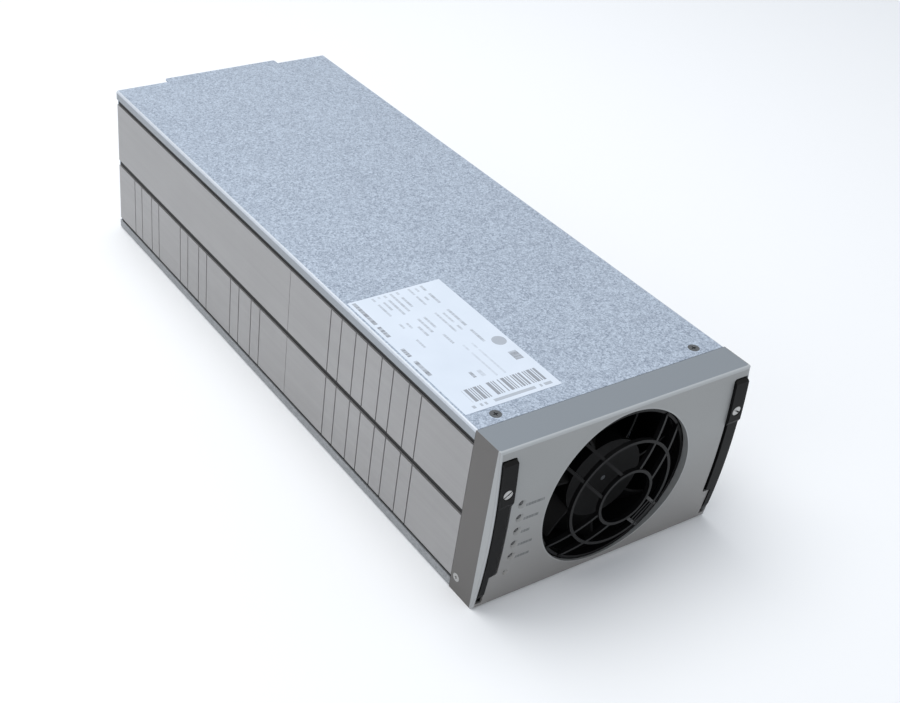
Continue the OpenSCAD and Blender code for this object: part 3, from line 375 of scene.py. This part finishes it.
blackPlastic("handlePlastic", shade=0.0025, rough=0.5, grainScale=2200.0, strength=0.12, gloss=0.14).onto(
    "left_handle", "right_handle")
blackPlastic("guardPlastic", shade=0.0025, rough=0.32, grainScale=1500.0, strength=0.03, gloss=0.14).onto(
    "fan_guard")
blackPlastic("fanPlastic", shade=0.0015, rough=0.5, grainScale=1500.0, strength=0.04, gloss=0.1).onto(
    "fan_frame", "fan_rotor")
blackPlastic("stripPlastic", shade=0.006, rough=0.6, grainScale=900.0, strength=0.1).onto(
    *[n for n in nodes if n.endswith("_strip")])
blackPlastic("mouldedEpoxy", shade=0.012, rough=0.55, grainScale=1800.0, strength=0.1).onto(
    "left_transistors", "right_transistors")
blackPlastic("plugPlastic", shade=0.018, rough=0.45, grainScale=1600.0, strength=0.08).onto("rear_connector")
blackPlastic("lensPlastic", shade=0.020, rough=0.12, grainScale=400.0, strength=0.02, coat=0.6).onto(
    "indicator_lights")


def plated(name, light, dark, rough, metallic=1.0, scale=180.0):
    finish = Finish(name, metallic=metallic)
    stain = finish.noise(scale, 3.0, 0.6)
    turned = finish.noise(1400.0, 1.0, 0.5)
    finish.feed("Base Color", finish.blend(stain, dark, light))
    finish.feed("Roughness", stain * 0.15 + turned * 0.08 + rough - 0.1)
    finish.bump(turned, 0.05, 0.0001)
    return finish


plated("nickelPlate", rgb(0.52, 0.52, 0.51), rgb(0.38, 0.38, 0.38), rough=0.36).onto(
    "fan_bearings", "fan_nuts", "board_nuts", "panel_screws", "board_pillars",
    "left_handle_screw", "right_handle_screw", "left_hinge_pin", "right_hinge_pin",
    "left_guide_bush", "right_guide_bush")
plated("darkPlate", rgb(0.13, 0.14, 0.15), rgb(0.06, 0.065, 0.07), rough=0.4, metallic=0.8).onto(
    "cover_screws", "tray_screws", "fan_screws", "fan_shaft")
plated("bareCopper", rgb(0.86, 0.46, 0.30), rgb(0.70, 0.34, 0.20), rough=0.35).onto("output_bars")
plated("goldPlate", rgb(0.95, 0.72, 0.33), rgb(0.84, 0.60, 0.24), rough=0.28).onto("connector_contacts")
plated("darkFerrite", rgb(0.085, 0.085, 0.09), rgb(0.045, 0.045, 0.05), rough=0.65, metallic=0.2,
       scale=90.0).onto("transformer_cores", "fan_magnet")


# dark is painted shade in the grooves between turns, light the copper of the turns
wireSet = {"light": rgb(0.72, 0.33, 0.12), "dark": rgb(0.30, 0.11, 0.04), "turns": 190.0}


def woundWire():
    finish = Finish("enamelWire", metallic=0.6, roughness=0.35)
    row = finish.make("ShaderNodeTexWave", {"wave_type": "BANDS", "bands_direction": "DIAGONAL"},
                      {"Vector": finish.place(), "Scale": wireSet["turns"], "Distortion": 0.4}, "Fac")
    # painted shade: the colour darkens in the bump's grooves between turns
    finish.feed("Base Color", finish.blend(row, wireSet["dark"], wireSet["light"]))
    finish.bump(row, 0.35, 0.0006)
    return finish


woundWire().onto("filter_chokes", "boost_chokes", "fan_stator")


boardSet = {
    "mask": rgb(0.022, 0.105, 0.045), "track": rgb(0.045, 0.19, 0.075), "pitch": 240.0, "repeats": 3.0,
    "trackStops": [(0.40, 0.0), (0.46, 1.0), (0.60, 1.0), (0.66, 0.0)],
}


def greenBoard():
    finish = Finish("greenBoard", roughness=0.38)
    at = finish.scaled((boardSet["pitch"], boardSet["pitch"], boardSet["pitch"]))
    paths = finish.make("ShaderNodeTexVoronoi", {"distance": "MANHATTAN", "feature": "F1"},
                        {"Vector": at, "Scale": 1.0}, "Distance")
    tracks = finish.steps((paths * boardSet["repeats"]).fraction(), boardSet["trackStops"])
    finish.feed("Base Color", finish.blend(tracks, boardSet["mask"], boardSet["track"]))
    finish.feed("Roughness", tracks * 0.12 + 0.3)
    return finish


greenBoard().onto("lower_board", "upper_board", "control_board", "indicator_board")


sleeveSet = {"dark": rgb(0.012, 0.018, 0.05), "light": rgb(0.025, 0.035, 0.085),
             "lid": rgb(0.62, 0.63, 0.65), "lidHalf": 0.0007}


def canSleeve():
    finish = Finish("canSleeve", roughness=0.3)
    z = finish.axes()[2]
    lids = [inside(z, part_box(name)[1][2], sleeveSet["lidHalf"]) for name in
            ("bulk_capacitors", "output_capacitors")]
    lid = lids[0].most(lids[1])
    band = finish.noise(60.0, 2.0, 0.5)
    sleeve = finish.blend(band, sleeveSet["dark"], sleeveSet["light"])
    finish.feed("Base Color", finish.blend(lid, sleeve, sleeveSet["lid"]))
    finish.feed("Metallic", lid)
    finish.feed("Roughness", band * 0.1 + 0.26)
    return finish


canSleeve().onto("bulk_capacitors", "output_capacitors")


tapeSet = {"light": rgb(0.62, 0.36, 0.04), "dark": rgb(0.36, 0.18, 0.02), "laps": 260.0, "lapFrom": 0.86}


def amberTape():
    finish = Finish("amberTape", roughness=0.35, coat_weight=0.4)
    z = finish.axes()[2]
    laps = (z * tapeSet["laps"]).fraction() > tapeSet["lapFrom"]
    stain = finish.noise(70.0, 3.0, 0.6)
    finish.feed("Base Color", finish.blend(laps * 0.5 + stain * 0.3, tapeSet["light"], tapeSet["dark"]))
    return finish


amberTape().onto("transformer_windings")


# columns on the label: place across, half width, strength and the stretches along it, in millimetres
labelSet = {
    "film": rgb(0.68, 0.74, 0.82), "shade": rgb(0.61, 0.67, 0.75), "ink": rgb(0.16, 0.17, 0.19),
    "columns": [
        (4.0, 1.5, 0.85, [(1.5, 30), (33.5, 46.5), (61.5, 71.5), (77, 95)]),
        (18.9, 0.9, 0.45, [(2, 6), (10, 26), (36, 42), (57, 67)]),
        (23.9, 0.9, 0.45, [(2, 4), (9, 20), (37, 44)]),
        (28.7, 1.0, 0.48, [(2, 5), (8, 28), (44, 56)]),
        (33.9, 1.0, 0.50, [(2, 26), (36, 54)]),
        (39.0, 1.0, 0.50, [(2, 5), (9, 22), (36, 50), (59, 71)]),
        (43.6, 0.8, 0.26, [(75, 82), (85, 113)]),
        (48.9, 0.9, 0.45, [(2, 10), (12, 24), (35, 60)]),
        (50.3, 0.8, 0.26, [(76, 82), (84, 113)]),
        (54.0, 0.9, 0.42, [(3, 8), (15, 20), (37, 50), (54, 60)]),
        (59.3, 1.1, 0.55, [(2, 9), (13, 26), (35, 57), (62, 78)]),
        (29.3, 1.2, 0.75, [(102.5, 109)]),
        (35.7, 1.6, 0.30, [(103, 110)]),
        (68.9, 3.2, 0.80, [(95, 104.5)])],
    "stripes": (12.0, 70.6, 117.0, 130.6), "stripePitch": 1.15, "stripeGap": 0.42, "stripeInk": 0.8,
    "figures": (8.5, 71.5, 133.2, 136.0), "figurePitch": 0.55, "figureGap": 0.35, "figureInk": 0.5,
    "disc": (68.9, 81.5, 5.2), "discInk": 0.55, "strokePitch": 0.9,
}


def boxed(across, along, area):
    left, right, top, bottom = area
    return (inside(across, (left + right) / 2, (right - left) / 2)
            * inside(along, (top + bottom) / 2, (bottom - top) / 2))


def labelFilm():
    finish = Finish("labelFilm", roughness=0.42)
    x, y, z = finish.axes()
    across = (x - labelBox[0][0]) * 1000.0
    along = (labelBox[1][1] - y) * 1000.0
    length = (labelBox[1][1] - labelBox[0][1]) / mm
    share = along / length
    strokes = finish.random((along * labelSet["strokePitch"]).floor(), 5.0) * 0.5 + 0.5
    edge = finish.noise(900.0, 2.0, 0.6) * 0.7 + 0.65
    ink = None
    for middle, half, strength, stretches in labelSet["columns"]:
        stops = [(0.0, 0.0)]
        for first, last in stretches:
            stops += [(first / length, 1.0), (last / length, 0.0)]
        column = finish.steps(share, stops, "CONSTANT") * inside(across, middle, half) * strength
        ink = column if ink is None else ink.most(column)
    ink = ink * strokes * edge
    stripes = finish.random((across * labelSet["stripePitch"]).floor(), 9.0) > labelSet["stripeGap"]
    stripes = stripes * boxed(across, along, labelSet["stripes"])
    figures = finish.random((across * labelSet["figurePitch"]).floor(), 2.0) > labelSet["figureGap"]
    figures = figures * boxed(across, along, labelSet["figures"])
    middleX, middleY, radius = labelSet["disc"]
    disc = ((across - middleX) ** 2.0 + (along - middleY) ** 2.0) < radius ** 2
    ink = ink.most(stripes * labelSet["stripeInk"]).most(figures * labelSet["figureInk"])
    ink = ink.most(disc * labelSet["discInk"])
    film = finish.blend(finish.noise(40.0, 2.0, 0.5), labelSet["shade"], labelSet["film"])
    finish.feed("Base Color", finish.blend(ink, film, labelSet["ink"]))
    finish.feed("Roughness", ink * 0.15 + 0.36)
    return finish


labelFilm().onto("rating_label")
print("finishes made")


# ---- floor, world and lamps ----

studioSet = {
    "floor": rgb(0.93, 0.93, 0.93), "floorSize": 9.0, "sky": rgb(0.86, 0.92, 1.0), "skyStrength": 0.62,
    # lamps: name, place, aim, size, power
    "lamps": [("topLamp", (-0.3, 0.5, 1.9), (0, 0, 0.1), 1.6, 26.0),
              ("leftLamp", (-1.9, -0.7, 1.0), (0, 0, 0.07), 1.2, 6.0)],
}


def makeFloor():
    size = studioSet["floorSize"]
    corners = [(-size, -size, 0), (size, -size, 0), (size, size, 0), (-size, size, 0)]
    mesh = bpy.data.meshes.new("studioFloor")
    mesh.from_pydata(corners, [], [(0, 1, 2, 3)])
    floor = bpy.data.objects.new("studioFloor", mesh)
    bpy.context.scene.collection.objects.link(floor)
    finish = Finish("floorPaper", roughness=0.9)
    finish.feed("Base Color", studioSet["floor"])
    mesh.materials.append(finish.material)


def makeWorld():
    # a soft blue sky lights the part; seen straight, or in a reflection, the surround is plain white
    world = bpy.data.worlds.new("studioWorld")
    bpy.context.scene.world = world
    world.use_nodes = True
    tree = world.node_tree
    tree.nodes.clear()
    sky = tree.nodes.new("ShaderNodeBackground")
    sky.inputs[0].default_value = studioSet["sky"]
    sky.inputs[1].default_value = studioSet["skyStrength"]
    white = tree.nodes.new("ShaderNodeBackground")
    white.inputs[0].default_value = (1, 1, 1, 1)
    white.inputs[1].default_value = 1.0
    path = tree.nodes.new("ShaderNodeLightPath")
    glossy = tree.nodes.new("ShaderNodeMath")
    glossy.operation = "MAXIMUM"
    clear = tree.nodes.new("ShaderNodeMath")
    clear.operation = "MAXIMUM"
    mix = tree.nodes.new("ShaderNodeMixShader")
    end = tree.nodes.new("ShaderNodeOutputWorld")
    tree.links.new(path.outputs["Is Camera Ray"], glossy.inputs[0])
    tree.links.new(path.outputs["Is Glossy Ray"], glossy.inputs[1])
    tree.links.new(glossy.outputs[0], clear.inputs[0])
    tree.links.new(path.outputs["Is Transmission Ray"], clear.inputs[1])
    tree.links.new(clear.outputs[0], mix.inputs[0])
    tree.links.new(sky.outputs[0], mix.inputs[1])
    tree.links.new(white.outputs[0], mix.inputs[2])
    tree.links.new(mix.outputs[0], end.inputs[0])


def makeLamp(name, place, aim, size, power):
    data = bpy.data.lights.new(name, "AREA")
    data.shape = "SQUARE"
    data.size = size
    data.energy = power
    lamp = bpy.data.objects.new(name, data)
    bpy.context.scene.collection.objects.link(lamp)
    lamp.location = place
    toward = mathutils.Vector(aim) - mathutils.Vector(place)
    lamp.rotation_euler = toward.to_track_quat("-Z", "Y").to_euler()


makeFloor()
makeWorld()
for lamp in studioSet["lamps"]:
    makeLamp(*lamp)
bpy.context.scene.view_settings.view_transform = "Standard"
print("studio made")
